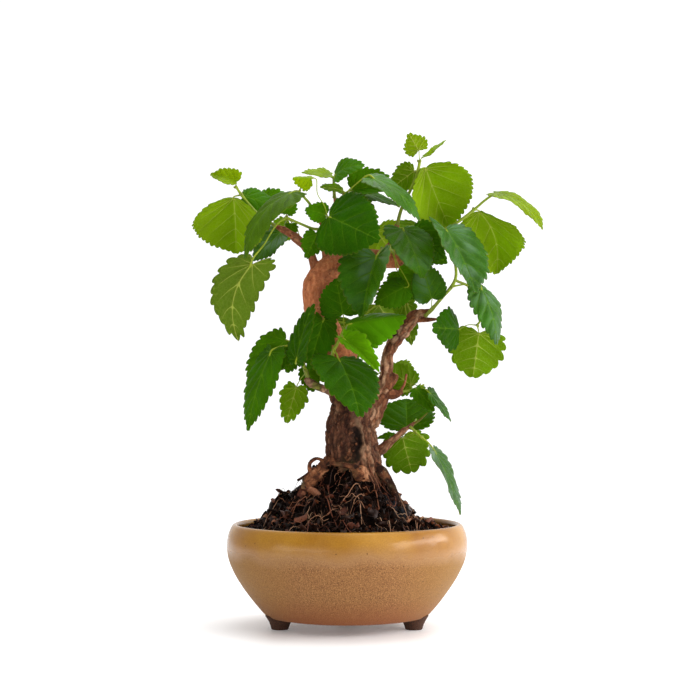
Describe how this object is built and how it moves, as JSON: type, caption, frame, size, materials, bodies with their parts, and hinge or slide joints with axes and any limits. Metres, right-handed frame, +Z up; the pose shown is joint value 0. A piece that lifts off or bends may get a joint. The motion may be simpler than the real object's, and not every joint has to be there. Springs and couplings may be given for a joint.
{
  "type": "mulberry bonsai tree in a pot",
  "caption": "Miniature mulberry tree with a bent old trunk and toothed heart-shaped leaves, growing from a mound of soil in a round glazed bowl on feet.",
  "frame": {"origin": "middle of the footprint box on the surface that the pot stands on", "axes": "+Z up along the trunk, -Y towards the front of the tree, +X to the viewer's right"},
  "size_m": [0.2228, 0.15, 0.3086],
  "materials": {
    "glazed_stoneware": "glazed stoneware: glossy yellow-ochre lip, satin speckled tan body, bare dark feet",
    "drain_plastic": "matt black plastic mesh",
    "peat_soil": "dry dark peat with bark chips and fibres",
    "bark": "rough grey-brown bark below, smooth reddish-brown bark above",
    "leaf_green": "waxy green leaves, paler and matt beneath, with yellow-green petioles"
  },
  "bodies": {
    "root": {"pot": "glazed_stoneware", "drain_mesh": "drain_plastic", "soil": "peat_soil", "trunk": "bark", "shoot_upper_left": "leaf_green", "shoot_upper_left_long": "leaf_green", "shoot_left_hanging": "leaf_green", "shoot_upper_front": "leaf_green", "shoot_top_middle": "leaf_green", "shoot_top_broad": "leaf_green", "shoot_top_right": "leaf_green", "shoot_right_arching": "leaf_green", "shoot_right_spray": "leaf_green", "shoot_right_low_spray": "leaf_green", "shoot_stump_front": "leaf_green", "shoot_crown_right": "leaf_green", "shoot_centre": "leaf_green", "shoot_left_cluster": "leaf_green", "shoot_right_knot": "leaf_green", "shoot_low_right": "leaf_green", "shoot_twig_end": "leaf_green", "shoot_behind_branch": "leaf_green", "shoot_back_upper_left": "leaf_green", "shoot_back_top": "leaf_green", "shoot_back_right": "leaf_green", "shoot_back_middle": "leaf_green", "shoot_back_low": "leaf_green"}
  },
  "joints": []
}
